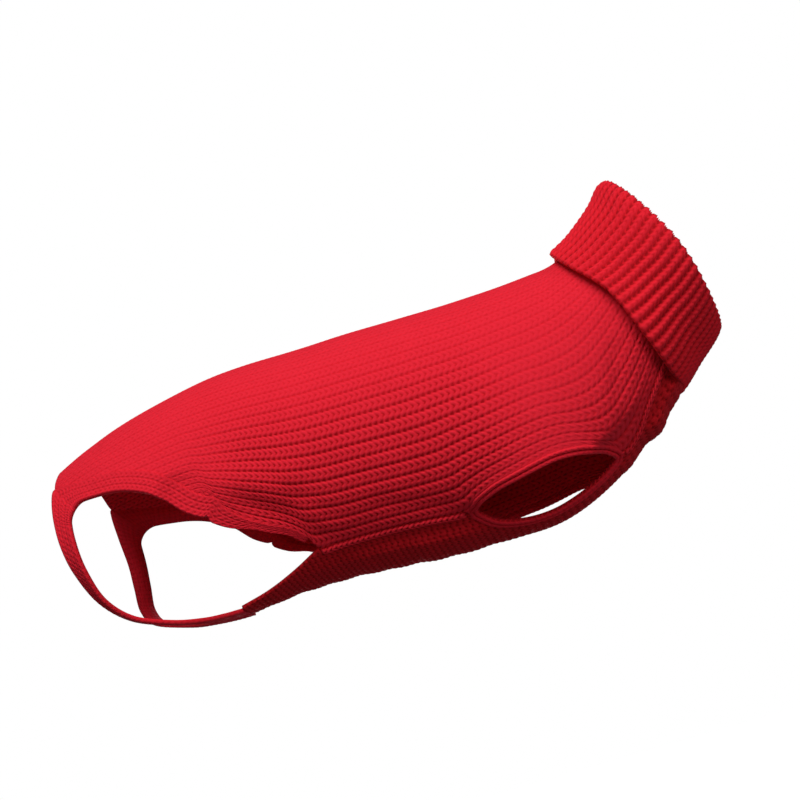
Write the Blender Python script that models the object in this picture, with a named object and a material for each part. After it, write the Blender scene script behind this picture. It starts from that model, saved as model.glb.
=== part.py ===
"""A knitted dog pullover with a turned-down roll collar, in metres, +Z up and +X towards the head.

The origin is on the inside of the back panel, on its centre line, where the garment lies on the wearer's back.
The trunk is one smooth tube, given by sections from tail to neck. The back panel, the belly panel and the
edgings are walls on that tube, and the collar is a doubled tube in front of it. The ribs are raised on the
outside of each wall, over a plain inside. Tables and sizes are in millimetres.
"""

import bpy
import numpy as np

METRES = 0.001
WALL = 2.2
RIB_RISE = 1.3
SEAM_GAP = 0.3


def table(columns, *rows):
    """A table of sizes: a name for each column, then a row for each section, course or ring."""
    return dict(zip(columns.split(), np.array(rows, float).T))


# The inside of the trunk. A section leans from its top point on the spine line to its low point on the belly
# line. widest says how far down the section is widest, as a share of its height.
TRUNK = table(
    "top_x top_z low_x low_z half_width widest",
    (-188, -27, -180, -115, 44, 0.50),
    (-154, -13, -143, -131, 54, 0.50),
    (-115, -3, -102, -140, 60, 0.50),
    (-60, 2, -47, -137, 61, 0.50),
    (0, 0, 13, -137, 61, 0.50),
    (50, 0, 66, -142, 60, 0.50),
    (91, -1, 114, -143, 58, 0.50),
    (126, -1, 157, -126, 53, 0.50),
    (151, 1, 185, -104, 48, 0.50),
    (172, 7, 207, -78, 46, 0.50),
)

# A row for each course line across the back panel: where it lies on the spine line, and where it meets the
# panel's lower edge, as a place along the trunk and a turn from the spine (0) to the belly line (1). rib_turn is
# where the ribs alone would have led the edge. The first rows have no such edge and only carry the ribs on over
# the hind-leg opening.
COURSES = table(
    "spine_x edge_x edge_turn rib_turn",
    (-176, -176, 0.50, 0.50),
    (-156, -156, 0.51, 0.51),
    (-134, -134, 0.52, 0.52),
    (-110, -110, 0.54, 0.54),
    (-88, -80, 0.56, 0.56),
    (-79, -75, 0.60, 0.60),
    (-70, -67, 0.645, 0.63),
    (-61, -56, 0.683, 0.66),
    (-52, -45, 0.715, 0.685),
    (-43, -38, 0.755, 0.71),
    (-34, -35, 0.80, 0.735),
    (-24, -25, 0.80, 0.76),
    (-12, -12, 0.80, 0.785),
    (6, 6, 0.80, 0.80),
    (28, 28, 0.80, 0.805),
    (49, 49, 0.80, 0.805),
    (57, 59, 0.765, 0.80),
    (67, 70, 0.737, 0.79),
    (78, 81, 0.722, 0.78),
    (89, 92, 0.715, 0.77),
    (99, 102, 0.72, 0.768),
    (107, 111, 0.742, 0.775),
    (112, 118, 0.775, 0.79),
    (116, 123, 0.815, 0.80),
    (121, 126, 0.855, 0.81),
    (126, 128, 0.885, 0.82),
    (135, 137, 0.872, 0.83),
    (146, 147, 0.83, 0.825),
    (158, 159, 0.803, 0.805),
    (172, 172, 0.79, 0.79),
)
EDGE_START_COURSE = 4
JUNCTION_COURSE = 10
ARMHOLE_START_COURSE = 15
ARMHOLE_END_COURSE = 25
BACK_RIBS = 44
BACK_FACETS_PER_RIB = 3
# How the turn of a rib grows from the spine to the edge: evenly up to MIDDLE_TURN, less what the ribs are drawn
# up by, and bent to the edge over the last ribs alone.
MIDDLE_TURN = 0.80
DRAWN_UP_POWER = 1.5
EDGE_BEND_POWER = 10

# Where the ribs of the back panel start at the rear, from the spine (0) to the panel's lower edge (1): across
# the tail, then along the cut over the thigh.
REAR_EDGE = table(
    "share start_x",
    (0.00, -176),
    (0.12, -176),
    (0.25, -175),
    (0.37, -174),
    (0.415, -171.5),
    (0.44, -168),
    (0.47, -162),
    (0.50, -155),
    (0.53, -144),
    (0.56, -130),
    (0.60, -118),
    (0.66, -107),
    (0.73, -100.5),
    (0.81, -96),
    (0.90, -92.5),
    (1.00, -88),
)
TAIL_CORNER_SHARE = 0.42

# The lower side of each armhole, on the belly panel's edge: places along the trunk and turns, a row for each
# course of the armhole.
BELLY_ARMHOLE = table(
    "edge_x edge_turn",
    (49, 0.80),
    (52, 0.835),
    (58, 0.87),
    (66, 0.90),
    (76, 0.92),
    (87, 0.93),
    (98, 0.933),
    (108, 0.934),
    (117, 0.93),
    (124, 0.915),
    (128, 0.885),
)
# The belly panel's tapered rear, from its end between the hind legs to the seam's start.
BELLY_TAPER = table(
    "edge_x edge_turn",
    (-98, 0.935),
    (-86, 0.92),
    (-72, 0.895),
    (-54, 0.85),
)
BELLY_FACETS = 24
BELLY_RIB_RISE = 0.5

ARMHOLE_BAND_WIDTH = 5.0
ARMHOLE_BAND_RISE = 0.6

# The leg band's body-side edge where it is free, right side, from the tail corner to its end on the belly
# panel, with the direction in which the band's outside faces, and its width.
LEG_BAND_FREE = table(
    "x y z face_x face_y face_z width",
    (-174, -41, -46, -0.35, -0.92, 0.15, 12),
    (-174, -45, -60, -0.35, -0.93, 0.00, 12),
    (-172, -47, -78, -0.40, -0.90, -0.15, 11),
    (-169, -42, -95, -0.55, -0.75, -0.35, 10),
    (-163, -30, -113, -0.65, -0.45, -0.60, 9),
    (-151, -17, -126, -0.50, -0.20, -0.85, 9),
    (-130, -9, -134, -0.20, 0.00, -0.98, 9),
    (-112, -3, -138, -0.05, 0.00, -1.00, 10),
    (-98, -0.4, -139.4, 0.00, 0.00, -1.00, 12),
)
LEG_BAND_WIDTH = 12.0
LEG_BAND_START_WIDTH = 4.0
LEG_BAND_WIDENS_OVER = (-60, -80)
LEG_BAND_CORNER_EXTRA = 9.0
LEG_BAND_CORNER_REACH = 16.0
LEG_BAND_RIBS = 3
LEG_BAND_FREE_STEPS = 3

# The middle of the collar's cloth, ring by ring: up the inner layer from the neck seam, over the fold, and
# down the outer layer to the hem. lean is the ring's tilt back from upright, in degrees. slip is how far the
# ribs have moved towards the throat at the side, in degrees. dip is the share of the hem's dips in this ring.
COLLAR = table(
    "centre_x centre_z radius lean slip dip",
    (190.9, -34.9, 47.2, 22.4, 0, 0),
    (201.5, -26.8, 49.1, 22.6, 2, 0),
    (211, -17.7, 51.4, 21.1, 4, 0),
    (215.9, -12.9, 53.5, 20, 5, 0),
    (217, -11.7, 55.2, 19.7, 5, 0),
    (213.6, -14.6, 56.1, 20, 5, 0.1),
    (207.3, -21.2, 54.6, 21, 4, 0.3),
    (198.8, -28, 53.6, 22.5, 2, 0.6),
    (190.2, -34.4, 53.4, 24, 0, 0.85),
    (181, -39.8, 54.2, 25.5, -2, 1),
)
# How far the hem dips towards the tail, from the spine (0 degrees) to the throat (180), the same on both sides.
HEM_DIPS = table(
    "degrees back",
    (0, 0),
    (30, 5),
    (60, 5),
    (90, 1),
    (120, 4),
    (150, 6),
    (180, 2),
)
# How far below level a dip runs back, in degrees: at the spine and at the throat, as the trunk's surface does.
HEM_DIP_SLANT = (16, 50)
COLLAR_RIBS = 56
COLLAR_FACETS_INSIDE = 28
COLLAR_RIB_RISE = 1.5

KNIT_RED = (0.62, 0.012, 0.03, 1.0)
DEEP_RED = (0.36, 0.006, 0.02, 1.0)
BAND_RED = (0.70, 0.02, 0.045, 1.0)


def through(values, row):
    """A column of a table as a smooth curve over its row numbers: cubic pieces, with the mean slope at each."""
    slopes = np.gradient(values)
    left = np.clip(np.floor(row).astype(int), 0, len(values) - 2)
    part = row - left
    return (
        values[left] * (1 + 2 * part) * (1 - part) ** 2
        + values[left + 1] * part**2 * (3 - 2 * part)
        + slopes[left] * part * (1 - part) ** 2
        + slopes[left + 1] * part**2 * (part - 1)
    )


def row_of(values, wanted):
    """The row number, with its fraction, at which a rising column of a table has the wanted value."""
    samples_per_row = 40
    rows = np.linspace(0, len(values) - 1, samples_per_row * len(values))
    return np.interp(wanted, through(values, rows), rows)


def unit(vectors):
    return vectors / np.linalg.norm(vectors, axis=-1, keepdims=True)


def trunk(along, turn):
    """Points on the inside of the trunk. along is the x of the section's top. turn is negative on the left."""
    row = row_of(TRUNK["top_x"], along)
    top_x, top_z, low_x, low_z, half_width, widest = (through(column, row) for column in TRUNK.values())
    angle = np.pi * np.abs(turn)
    down = widest - np.where(angle < np.pi / 2, widest, 1 - widest) * np.cos(angle)
    x = top_x + (low_x - top_x) * down
    y = -np.sign(turn) * half_width * np.sin(angle)
    z = top_z + (low_z - top_z) * down
    return np.stack([x, y, z], axis=-1)


def trunk_outward(along, turn):
    """The direction out of the trunk, from its slopes along and around."""
    step_along, step_turn = 0.5, 0.002
    forward = trunk(along + step_along, turn) - trunk(along - step_along, turn)
    side = np.where(turn < 0, -1, 1)
    around = trunk(along, turn + side * step_turn) - trunk(along, turn)
    return unit(side[..., None] * np.cross(around, forward))


def ribbed(columns, rise, columns_per_rib=2):
    """The height of each column of a ribbed wall: the first column of each rib is a groove, the rest its ridge."""
    return rise * (np.arange(columns) % columns_per_rib > 0)


def grid_faces(grid):
    """Two triangles for each cell of a grid of point numbers."""
    corners = (grid[:-1, :-1], grid[:-1, 1:], grid[1:, 1:], grid[1:, :-1])
    a, b, c, d = (corner.reshape(-1) for corner in corners)
    return np.concatenate([np.stack([a, b, c], axis=1), np.stack([a, c, d], axis=1)])


def laced(coarse, fine):
    """Triangles between two lines of point numbers, the second with one or more steps for each of the first."""
    ratio = (len(fine) - 1) // (len(coarse) - 1)
    faces = []
    for step in range(len(coarse) - 1):
        line = fine[step * ratio : (step + 1) * ratio + 1]
        middle = ratio // 2
        faces += [(coarse[step], line[k + 1], line[k]) for k in range(middle)]
        faces += [(coarse[step + 1], line[k + 1], line[k]) for k in range(middle, ratio)]
        faces.append((coarse[step], coarse[step + 1], line[middle]))
    return np.array(faces)


def wall(name, inside, outside, colour, closed_around=False, closed_along=False, fine_start=None):
    """A closed solid between two grids of points with the same rows.

    The outside may have several columns for each column of the inside. closed_around joins the last column to
    the first, and closed_along the last row to the first. fine_start stands in for the first row of the inside,
    with as many columns as the outside has, for an edge that bends a lot.
    """
    if fine_start is not None:
        inside = inside[1:]
    outer = np.arange(outside[..., 0].size).reshape(outside.shape[:2])
    inner = outer.size + np.arange(inside[..., 0].size).reshape(inside.shape[:2])
    points = [outside.reshape(-1, 3), inside.reshape(-1, 3)]
    if closed_around:
        outer, inner = (np.hstack([grid, grid[:, :1]]) for grid in (outer, inner))
    if closed_along:
        outer, inner = (np.vstack([grid, grid[:1]]) for grid in (outer, inner))
    faces = [grid_faces(outer), grid_faces(inner)[:, ::-1]]
    first_edge, last_edge = inner[:, 0], inner[:, -1]
    if fine_start is not None:
        line = outer.size + inner.size + np.arange(len(fine_start))
        points.append(fine_start)
        faces += [laced(line, outer[0]), laced(inner[0], line)]
        first_edge, last_edge = np.append(line[0], first_edge), np.append(line[-1], last_edge)
    elif not closed_along:
        faces.append(laced(inner[0], outer[0]))
    if not closed_along:
        faces.append(laced(inner[-1], outer[-1])[:, ::-1])
    if not closed_around:
        faces += [laced(first_edge, outer[:, 0])[:, ::-1], laced(last_edge, outer[:, -1])]
    return solid(name, np.concatenate(points) * METRES, np.concatenate(faces), colour)


def solid(name, points, faces, colour):
    """A mesh object with its own material, its faces turned outwards."""
    volume = np.linalg.det(points[faces]).sum()
    if volume < 0:
        faces = faces[:, ::-1]
    mesh = bpy.data.meshes.new(name)
    mesh.from_pydata(points.tolist(), [], faces.tolist())
    mesh.update()
    mesh.shade_smooth()
    material = bpy.data.materials.new(name + "_knit")
    material.use_nodes = True
    surface = material.node_tree.nodes["Principled BSDF"]
    surface.inputs["Base Color"].default_value = colour
    surface.inputs["Roughness"].default_value = 0.9
    surface.inputs["Metallic"].default_value = 0.0
    mesh.materials.append(material)
    made = bpy.data.objects.new(name, mesh)
    bpy.context.scene.collection.objects.link(made)
    return made


def on_trunk(along, turn, height):
    """Points on the trunk, moved out of it by a height."""
    return trunk(along, turn) + trunk_outward(along, turn) * height[..., None]


def back_grid(share):
    """Places (along, turn) on the back panel: a row for each course line and a column for each share.

    share runs from the spine (0) to the panel's lower edge (1). Each column starts on the rear edge and runs
    to the neck; the course lines bend towards the rear or the front on their way down to the edge.
    """
    last = len(COURSES["spine_x"]) - 1
    start_x = through(REAR_EDGE["start_x"], row_of(REAR_EDGE["share"], share))
    start = row_of(COURSES["spine_x"], start_x)
    part = np.linspace(0, 1, last - EDGE_START_COURSE + 1)
    course = start + (last - start) * part[:, None]
    spine, edge, edge_turn, rib_turn = (through(column, course) for column in COURSES.values())
    turn = share * (MIDDLE_TURN + (rib_turn - MIDDLE_TURN) * share**DRAWN_UP_POWER)
    turn = turn + (edge_turn - rib_turn) * share**EDGE_BEND_POWER
    return spine + (edge - spine) * share**3, turn


def turn_width(along, turn):
    """Millimetres of cloth for a whole turn, at a place on the trunk."""
    step = 0.002
    return np.linalg.norm(trunk(along, turn) - trunk(along, turn - step), axis=-1) / step


def back_panel():
    """The large ribbed panel: over the back and both flanks, cut away at the armholes and the thighs."""
    columns = BACK_FACETS_PER_RIB * BACK_RIBS + 1
    share = np.linspace(-1, 1, columns)
    along, turn = back_grid(np.abs(share))
    turn = turn - (np.abs(share) == 1) * 0.5 * SEAM_GAP / turn_width(along, turn)
    turn = turn * np.where(share < 0, -1, 1)
    rise = np.broadcast_to(ribbed(columns, RIB_RISE, BACK_FACETS_PER_RIB), turn.shape)
    outside = on_trunk(along, turn, WALL + rise)
    inside = trunk(along, turn)
    inside_for_solid = inside[:, ::BACK_FACETS_PER_RIB]
    return wall("back_panel", inside_for_solid, outside, KNIT_RED, fine_start=inside[0])


def belly_edge():
    """Places (along, turn) down the belly panel's edge: the taper, the seam, the armhole and the chest seam."""
    along, turn = (COURSES[name][JUNCTION_COURSE:].copy() for name in ("edge_x", "edge_turn"))
    armhole = slice(ARMHOLE_START_COURSE - JUNCTION_COURSE, ARMHOLE_END_COURSE - JUNCTION_COURSE + 1)
    along[armhole] = BELLY_ARMHOLE["edge_x"]
    turn[armhole] = BELLY_ARMHOLE["edge_turn"]
    along = np.concatenate([BELLY_TAPER["edge_x"], along])
    return along, np.concatenate([BELLY_TAPER["edge_turn"], turn])


def belly_panel():
    """The small panel under chest and belly, tapered to the rear between the hind legs."""
    edge_along, edge_turn = belly_edge()
    edge_turn = edge_turn + 0.5 * SEAM_GAP / turn_width(edge_along, edge_turn)
    share = np.linspace(-1, 1, BELLY_FACETS + 1)
    around = 1 - (1 - edge_turn[:, None]) * np.abs(share)
    along = np.broadcast_to(edge_along[:, None], around.shape)
    turn = around * np.where(share < 0, -1, 1)
    rise = np.broadcast_to(ribbed(len(share), BELLY_RIB_RISE), turn.shape)
    outside = on_trunk(along, turn, WALL + rise)
    inside = trunk(along, turn)[:, ::2]
    return wall("belly_panel", inside, outside, DEEP_RED)


def strip_sides(edge, face, closed=False):
    """The unit direction across a strip, from its edge path and the directions its outside faces."""
    if closed:
        tangent = np.roll(edge, -1, axis=0) - np.roll(edge, 1, axis=0)
    else:
        tangent = np.gradient(edge, axis=0)
    return unit(np.cross(face, unit(tangent)))


def armhole_band(name, side):
    """The narrow edging of one armhole: a closed ring whose outer rim follows the panels' edges."""
    upper = slice(ARMHOLE_START_COURSE, ARMHOLE_END_COURSE + 1)
    along = np.concatenate([COURSES["edge_x"][upper], BELLY_ARMHOLE["edge_x"][-2:0:-1]])
    turn = side * np.concatenate([COURSES["edge_turn"][upper], BELLY_ARMHOLE["edge_turn"][-2:0:-1]])
    rim = trunk(along, turn)
    face = trunk_outward(along, turn)
    across = -side * strip_sides(rim, face, closed=True)
    offsets = np.array([SEAM_GAP, 0.5 * ARMHOLE_BAND_WIDTH, ARMHOLE_BAND_WIDTH])
    heights = np.array([WALL, WALL + ARMHOLE_BAND_RISE, WALL])
    middle = rim[:, None] + across[:, None] * offsets[:, None]
    outside = middle + face[:, None] * heights[:, None]
    return wall(name, middle[:, ::2], outside, BAND_RED, closed_along=True)


def leg_band_path():
    """Rows for the right leg band: the body-side edge, the way the outside faces, and the width.

    It runs back along the panel's cut edge over the thigh, turns down at the tail corner, and ends where the
    belly panel begins.
    """
    shares = np.linspace(0, 1, BACK_FACETS_PER_RIB * BACK_RIBS // 2 + 1)
    over_thigh = back_grid(shares[shares >= TAIL_CORNER_SHARE][::-1])
    before_thigh = slice(JUNCTION_COURSE - 1, EDGE_START_COURSE, -1)
    along = np.concatenate([COURSES["edge_x"][before_thigh], over_thigh[0][0]])
    turn = np.concatenate([COURSES["edge_turn"][before_thigh], over_thigh[1][0]])
    narrow, wide = LEG_BAND_WIDENS_OVER
    growth = np.clip((narrow - along) / (narrow - wide), 0, 1)
    width = LEG_BAND_START_WIDTH + (LEG_BAND_WIDTH - LEG_BAND_START_WIDTH) * growth**2 * (3 - 2 * growth)
    cut = np.hstack([trunk(along, turn), trunk_outward(along, turn), width[:, None]])
    end_along = BELLY_TAPER["edge_x"][:1] - SEAM_GAP
    end_turn = 1 - 0.5 * SEAM_GAP / turn_width(end_along, 1.0)
    straight_down_and_width = np.array([[0.0, 0.0, -1.0, LEG_BAND_WIDTH]])
    end = np.hstack([trunk(end_along, end_turn), straight_down_and_width])
    rows_before_corner = 4
    loose = np.stack(list(LEG_BAND_FREE.values()), axis=1)
    guide = np.vstack([cut[-1 - rows_before_corner], cut[-1], loose, end])
    last = len(guide) - 1
    rows = np.linspace(1, last, (last - 1) * LEG_BAND_FREE_STEPS + 1)[1:]
    free = np.stack([through(column, rows) for column in guide.T], axis=1)
    path = np.vstack([cut, free])
    edge = path[:, :3]
    from_corner = np.linalg.norm(edge - cut[-1, :3], axis=1) / LEG_BAND_CORNER_REACH
    return edge, unit(path[:, 3:6]), path[:, 6] + LEG_BAND_CORNER_EXTRA * np.exp(-(from_corner**2))


def leg_band(name, side):
    """The ribbed band round one hind leg, sewn to the cut over the thigh and to the end of the belly panel."""
    edge, face, width = leg_band_path()
    across = strip_sides(edge, face)
    mirror = np.array([1, side, 1])
    part = np.linspace(0, 1, 2 * LEG_BAND_RIBS + 1)
    reach = SEAM_GAP + (width[:, None] - SEAM_GAP) * part
    middle = edge[:, None] + across[:, None] * reach[..., None]
    heights = WALL + ribbed(len(part), RIB_RISE)
    outside = middle + face[:, None] * heights[:, None]
    return wall(name, middle[:, [0, -1]] * mirror, outside * mirror, BAND_RED)


def collar_middle(row, angle):
    """Points in the middle of the collar's cloth. angle is 0 at the spine and pi at the throat."""
    centre_x, centre_z, radius, lean, slip, dip = (through(column, row) for column in COLLAR.values())
    lean, slip = np.radians(lean), np.radians(slip)
    turned = angle + slip * np.sin(angle)
    up, side = radius * np.cos(turned), radius * np.sin(turned)
    from_spine = np.degrees(np.arccos(np.cos(angle)))
    back = dip * through(HEM_DIPS["back"], row_of(HEM_DIPS["degrees"], from_spine))
    slant_at_spine, slant_at_throat = np.radians(HEM_DIP_SLANT)
    slant = slant_at_spine + (slant_at_throat - slant_at_spine) * 0.5 * (1 - np.cos(angle))
    x = centre_x - up * np.sin(lean) - back * np.cos(slant)
    z = centre_z + up * np.cos(lean) - back * np.sin(slant)
    return np.stack([x, -side, z], axis=-1)


def collar():
    """The ribbed roll collar: its inner layer rises from the neck seam, and its outer layer is turned down."""
    columns = 2 * COLLAR_RIBS
    last = len(COLLAR["lean"]) - 1
    row, angle = np.meshgrid(
        np.arange(last + 1.0), np.linspace(0, 2 * np.pi, columns, endpoint=False), indexing="ij"
    )
    step = 0.01
    before, after = np.clip(row - step, 0, last), np.clip(row + step, 0, last)
    along = collar_middle(after, angle) - collar_middle(before, angle)
    around = collar_middle(row, angle + step) - collar_middle(row, angle - step)
    ribbed_side = unit(np.cross(along, around))
    middle = collar_middle(row, angle)
    fade = np.clip(row - 1, 0, 1)
    rise = fade * ribbed(columns, COLLAR_RIB_RISE)
    outside = middle + ribbed_side * (0.5 * WALL + rise)[..., None]
    inside = (middle - ribbed_side * 0.5 * WALL)[:, :: columns // COLLAR_FACETS_INSIDE]
    return wall("collar", inside, outside, KNIT_RED, closed_around=True)


for leftover in list(bpy.data.objects):
    bpy.data.objects.remove(leftover)

back_panel()
belly_panel()
collar()
armhole_band("armhole_band_right", 1)
armhole_band("armhole_band_left", -1)
leg_band("leg_band_right", 1)
leg_band("leg_band_left", -1)
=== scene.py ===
import bpy
import numpy as np
from mathutils import Matrix, Vector


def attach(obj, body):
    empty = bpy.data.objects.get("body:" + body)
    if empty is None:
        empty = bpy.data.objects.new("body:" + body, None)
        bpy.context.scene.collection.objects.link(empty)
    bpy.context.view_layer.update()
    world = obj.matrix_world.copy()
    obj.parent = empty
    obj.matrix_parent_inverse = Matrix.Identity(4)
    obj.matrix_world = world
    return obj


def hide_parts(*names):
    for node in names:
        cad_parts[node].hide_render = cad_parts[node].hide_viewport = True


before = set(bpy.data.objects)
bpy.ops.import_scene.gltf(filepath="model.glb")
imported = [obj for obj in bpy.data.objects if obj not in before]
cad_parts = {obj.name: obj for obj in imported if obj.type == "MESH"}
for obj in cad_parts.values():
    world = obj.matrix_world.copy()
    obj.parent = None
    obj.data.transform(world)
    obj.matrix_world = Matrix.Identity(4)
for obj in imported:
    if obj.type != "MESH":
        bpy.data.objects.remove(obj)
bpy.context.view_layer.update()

# ------------------------------------------------------------
# Back panel. The large piece of chunky red rib knit over the back and both flanks. It is knitted from neck to
# tail, each rib a column of V stitches between two sunk furrows, and shaped by stopping its rows at the
# armholes and over the thighs.
# ------------------------------------------------------------
# All sizes are in millimetres. A place on the trunk is an x along its top line and a turn, from the spine (0)
# to the belly line (1 on the right, -1 on the left).
METRES = 0.001
# How thick the cloth is under its stitches, and how far two pieces stand apart at their seam.
WALL = 2.2
SEAM_GAP = 0.3


def table(columns, *rows):
    """A table of sizes: a name for each column, then a row for each section, course or ring."""
    return dict(zip(columns.split(), np.array(rows, float).T))


# The inside of the trunk: a section leans from its top point to its low point and is widest halfway down.
TRUNK = table(
    "top_x top_z low_x low_z half_width",
    (-188, -27, -180, -115, 44),
    (-154, -13, -143, -131, 54),
    (-115, -3, -102, -140, 60),
    (-60, 2, -47, -137, 61),
    (0, 0, 13, -137, 61),
    (50, 0, 66, -142, 60),
    (91, -1, 114, -143, 58),
    (126, -1, 157, -126, 53),
    (151, 1, 185, -104, 48),
    (172, 7, 207, -78, 46),
)
# A row for each course line of the panel: its x on the spine, where it meets the lower edge, and the turn
# that the ribs alone would have led the edge to.
COURSES = table(
    "spine_x edge_x edge_turn rib_turn",
    (-176, -176, 0.50, 0.50),
    (-156, -156, 0.51, 0.51),
    (-134, -134, 0.52, 0.52),
    (-110, -110, 0.54, 0.54),
    (-88, -80, 0.56, 0.56),
    (-79, -75, 0.60, 0.60),
    (-70, -67, 0.645, 0.63),
    (-61, -56, 0.683, 0.66),
    (-52, -45, 0.715, 0.685),
    (-43, -38, 0.755, 0.71),
    (-34, -35, 0.80, 0.735),
    (-24, -25, 0.80, 0.76),
    (-12, -12, 0.80, 0.785),
    (6, 6, 0.80, 0.80),
    (28, 28, 0.80, 0.805),
    (49, 49, 0.80, 0.805),
    (57, 59, 0.765, 0.80),
    (67, 70, 0.737, 0.79),
    (78, 81, 0.722, 0.78),
    (89, 92, 0.715, 0.77),
    (99, 102, 0.72, 0.768),
    (107, 111, 0.742, 0.775),
    (112, 118, 0.775, 0.79),
    (116, 123, 0.815, 0.80),
    (121, 126, 0.855, 0.81),
    (126, 128, 0.885, 0.82),
    (135, 137, 0.872, 0.83),
    (146, 147, 0.83, 0.825),
    (158, 159, 0.803, 0.805),
    (172, 172, 0.79, 0.79),
)
# The courses where the lower edge starts, where the belly panel joins it, and between which the armhole lies.
EDGE_START_COURSE = 4
JUNCTION_COURSE = 10
ARMHOLE_START_COURSE = 15
ARMHOLE_END_COURSE = 25
# Where the rows stop at the rear, from the spine (0) to the lower edge (1): across the tail, then over the
# thigh.
REAR_EDGE = table(
    "share start_x",
    (0.00, -176),
    (0.12, -176),
    (0.25, -175),
    (0.37, -175),
    (0.415, -174),
    (0.44, -169.5),
    (0.47, -162),
    (0.50, -155),
    (0.53, -144),
    (0.56, -130),
    (0.60, -118),
    (0.66, -107),
    (0.73, -100.5),
    (0.81, -96),
    (0.90, -92.5),
    (1.00, -88),
)
# How the ribs run from the spine to the lower edge, as back_place() says: the turn that they reach unbent,
# the powers with which they are drawn up and bend to the edge, and the length over which its bends are eased.
MIDDLE_TURN = 0.80
DRAWN_UP_POWER = 1.5
EDGE_BEND_POWER = 5
SHARP_BEND_POWER = 14
BEND_REACH = 16.0
# Soft folds of the worn cloth: a line on the unrolled trunk for each, how wide its trough is and how deep. A
# negative depth is a swell.
FOLDS = table(
    "from_x from_turn to_x to_turn width depth",
    (-28, 0.76, -62, 0.60, 7, 1.1),
    (-20, 0.70, -48, 0.52, 6, 0.7),
    (44, 0.77, 12, 0.72, 7, 0.9),
    (134, 0.80, 150, 0.62, 6, 1.0),
    (140, 0.70, 158, 0.50, 5, 0.6),
    (-120, 0.44, -82, 0.55, 9, 0.8),
    (-150, 0.20, -118, 0.34, 11, 0.7),
    (150, 0.10, 138, 0.34, 6, 0.8),
    (-32, -0.75, -66, -0.58, 8, 1.2),
    (-14, -0.68, -50, -0.50, 6, 0.6),
    (46, -0.77, 8, -0.70, 6, 1.0),
    (132, -0.82, 152, -0.60, 7, 0.9),
    (-114, -0.46, -76, -0.57, 8, 0.9),
    (-146, -0.24, -112, -0.36, 10, 0.6),
    (146, -0.06, 140, -0.32, 7, 0.7),
    (-4, 0.90, 30, 0.86, 8, 0.7),
    (-74, 0.53, -38, 0.58, 10, -2.4),
    (-60, 0.63, -42, 0.66, 8, 1.2),
    (-70, -0.54, -34, -0.59, 10, -2.0),
    (-58, -0.63, -40, -0.66, 8, 1.0),
    (-62, 0.00, 8, 0.00, 38, -3.0),
    (-152, 0.00, -140, 0.00, 14, 1.8),
    (0, -0.88, 34, -0.92, 7, 0.8),
)
# Ripples and swells that run across the belly, from one flank to the other.
RIPPLES = table(
    "x turn width depth",
    (-88, 0.93, 6, 0.5),
    (-66, 0.91, 6, 0.7),
    (-47, 0.90, 5, 0.5),
    (-27, 0.88, 6, 0.7),
    (-8, 0.89, 5, 0.5),
    (10, 0.88, 6, 0.8),
    (31, 0.90, 5, 0.5),
    (52, 0.92, 6, 0.6),
    (18, 0.86, 46, -4.4),
    (127, 0.93, 5, -0.8),
    (137, 0.91, 4, 1.0),
    (147, 0.90, 6, -3.8),
    (162, 0.88, 9, -4.4),
)
# How far the limbs push the cloth out above their openings: where along the trunk, how far along it they
# reach, the turn where it starts, the turn at the opening and the push there.
LIMBS = table(
    "x reach from_turn edge_turn push",
    (96, 62, 0.34, 0.74, 13),
    (-122, 46, 0.26, 0.42, 4),
)
# Which way they push, and the cloth from the spine to the belly line, as the folds are laid out on it.
LIMB_PUSH_OUT, LIMB_PUSH_DOWN = 0.96, 0.28
HALF_GIRTH = 210.0

# The knit: the length of a stitch, where the first row is, and the number of ribs.
STITCH = 3.3
NECK_X = 172.0
BACK_RIBS = 44
# Where the grid's columns stand across a rib: the furrow, then the foot and crest of a leg of the V, the
# middle, and the crest and foot of its other leg. The inside has the furrow and the middle alone.
RIB_COLUMNS = np.array([0, 0.12, 0.31, 0.5, 0.69, 0.88])
PLAIN_COLUMNS = np.array([0, 0.5])
ROWS_PER_STITCH = 3
# How far a V's point runs ahead of its feet, in stitches.
V_REACH = 0.9
RIB_RISE = 0.8
FURROW_DEPTH = 0.4
MIDDLE_DENT = 0.42
LEG_RISE = 0.8
# How unevenly the stitches stand, in stitches along the rib and in height, and how deep the relief's foot is
# sunk into the wall.
UNEVEN_PLACE = 0.1
UNEVEN_HEIGHT = 0.14
RELIEF_SUNK = 0.4


def cubic(start, end, out, into, part):
    """The cubic curve between two values that leaves the first and reaches the second with given slopes."""
    return (
        start * (1 + 2 * part) * (1 - part) ** 2
        + end * part**2 * (3 - 2 * part)
        + out * part * (1 - part) ** 2
        + into * part**2 * (part - 1)
    )


def through(values, row):
    """A column of a table as a smooth curve over its row numbers: cubic pieces, with the mean slope at each
    row."""
    slopes = np.gradient(values)
    left = np.clip(np.floor(row).astype(int), 0, len(values) - 2)
    return cubic(values[left], values[left + 1], slopes[left], slopes[left + 1], row - left)


def row_of(values, wanted):
    """The row number, with its fraction, at which a rising column of a table has the wanted value."""
    samples_per_row = 40
    rows = np.linspace(0, len(values) - 1, samples_per_row * len(values))
    return np.interp(wanted, through(values, rows), rows)


def unit(vectors):
    """Each vector divided by its length."""
    return vectors / np.linalg.norm(vectors, axis=-1, keepdims=True)


def smooth(value):
    """A value held between 0 and 1 and eased at both ends: 3v² - 2v³."""
    value = np.clip(value, 0, 1)
    return value**2 * (3 - 2 * value)


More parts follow.
